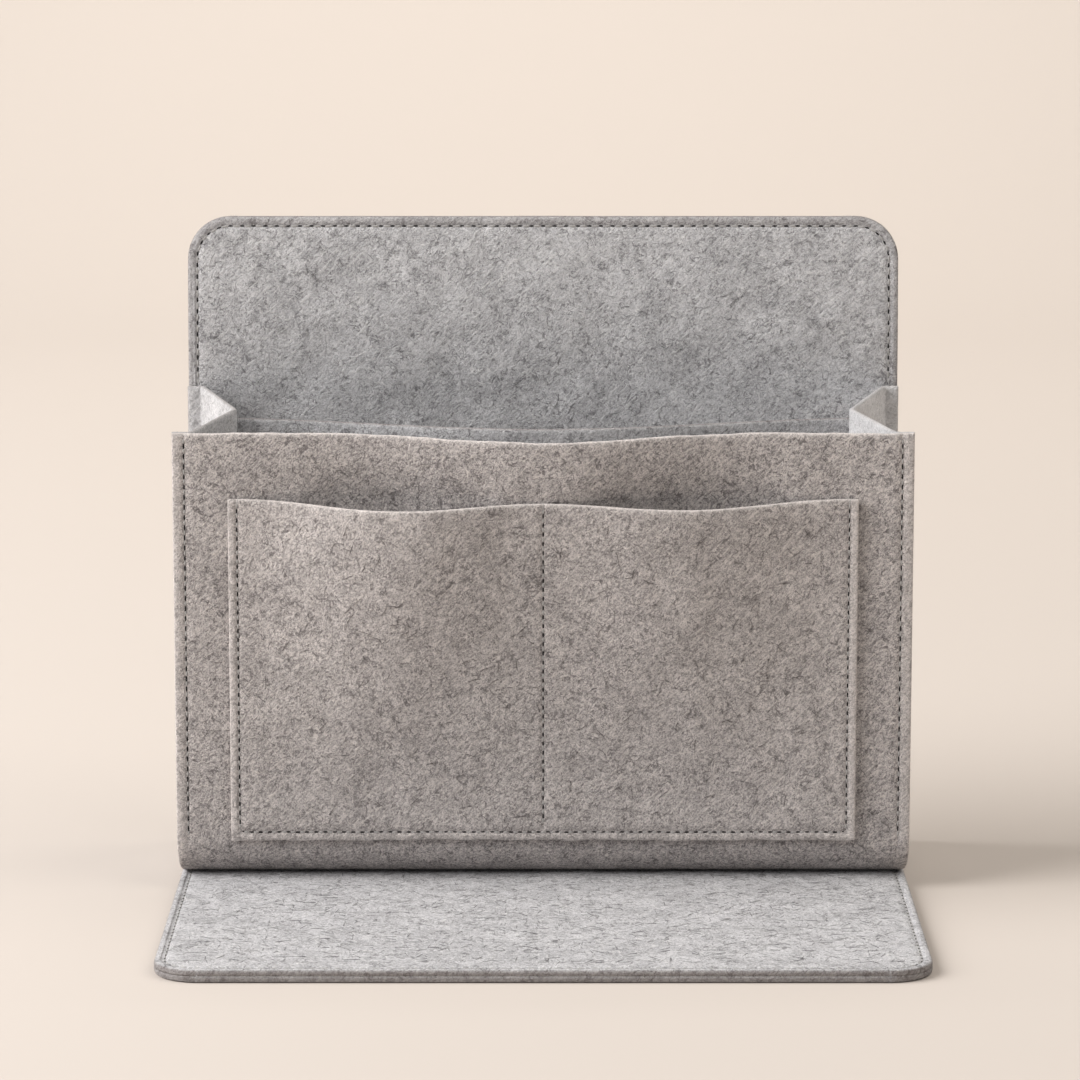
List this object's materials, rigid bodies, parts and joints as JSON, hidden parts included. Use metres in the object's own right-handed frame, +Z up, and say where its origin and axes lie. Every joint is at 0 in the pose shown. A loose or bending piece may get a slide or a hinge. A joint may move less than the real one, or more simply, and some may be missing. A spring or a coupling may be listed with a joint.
{
  "type": "bedside caddy",
  "caption": "Felt bedside caddy: doubled back panel with a tuck flap, a bellows-sided pocket with an inner divider that folds flat, and patch pockets sewn on its front.",
  "frame": {"origin": "on the underside of the flap, below the middle of the pocket, midway between the gusset seams", "axes": "+X to the right as seen from the front, +Y from the front panel to the back panel, +Z up"},
  "size_m": [0.327, 0.2608, 0.292],
  "materials": {
    "felt": "grey melange needle felt",
    "thread": "light grey sewing thread"
  },
  "bodies": {
    "back": {"back_panel_front_layer": "felt", "back_panel_rear_layer": "felt", "base_panel": "felt", "divider_panel": "felt", "left_gusset_rear_flange": "felt", "right_gusset_rear_flange": "felt", "back_edge_thread_front": "thread", "back_edge_thread_rear": "thread", "base_seam_thread": "thread", "left_rear_seam_thread": "thread", "right_rear_seam_thread": "thread"},
    "flap": {"flap_top_layer": "felt", "flap_bottom_layer": "felt", "flap_edge_thread_top": "thread", "flap_edge_thread_bottom": "thread"},
    "left_gusset_rear": {"left_gusset_rear_half": "felt"},
    "left_gusset_front": {"left_gusset_front_half": "felt"},
    "right_gusset_rear": {"right_gusset_rear_half": "felt"},
    "right_gusset_front": {"right_gusset_front_half": "felt"},
    "front": {"front_panel": "felt", "patch_pocket_panel": "felt", "left_gusset_front_flange": "felt", "right_gusset_front_flange": "felt", "left_front_seam_thread": "thread", "right_front_seam_thread": "thread", "patch_edge_thread": "thread", "patch_centre_thread": "thread"}
  },
  "joints": [
    {"name": "flap_fold", "type": "hinge", "parent": "back", "child": "flap", "pos_m": [0, 0.04855, 0.00275], "axis": [1, 0, 0], "range_deg": [0, 180]},
    {"name": "left_gusset_rear_fold", "type": "hinge", "parent": "back", "child": "left_gusset_rear", "pos_m": [-0.1567, 0.04, 0.1], "axis": [0, 0, 1], "range_deg": [0, 56], "deforming": ["base_panel", "divider_panel"]},
    {"name": "left_gusset_middle_fold", "type": "hinge", "parent": "left_gusset_rear", "child": "left_gusset_front", "pos_m": [-0.14, 0, 0.1], "axis": [0, 0, 1], "range_deg": [-112, 0]},
    {"name": "left_gusset_front_fold", "type": "hinge", "parent": "left_gusset_front", "child": "front", "pos_m": [-0.1567, -0.04, 0.1], "axis": [0, 0, 1], "range_deg": [0, 56]},
    {"name": "right_gusset_rear_fold", "type": "hinge", "parent": "back", "child": "right_gusset_rear", "pos_m": [0.1567, 0.04, 0.1], "axis": [0, 0, 1], "range_deg": [-56, 0]},
    {"name": "right_gusset_middle_fold", "type": "hinge", "parent": "right_gusset_rear", "child": "right_gusset_front", "pos_m": [0.14, 0, 0.1], "axis": [0, 0, 1], "range_deg": [0, 112]}
  ],
  "couplings": [
    {"joint": "left_gusset_middle_fold", "follows": "left_gusset_rear_fold", "ratio": -2},
    {"joint": "left_gusset_front_fold", "follows": "left_gusset_rear_fold", "ratio": 1},
    {"joint": "right_gusset_rear_fold", "follows": "left_gusset_rear_fold", "ratio": -1},
    {"joint": "right_gusset_middle_fold", "follows": "left_gusset_rear_fold", "ratio": 2}
  ]
}
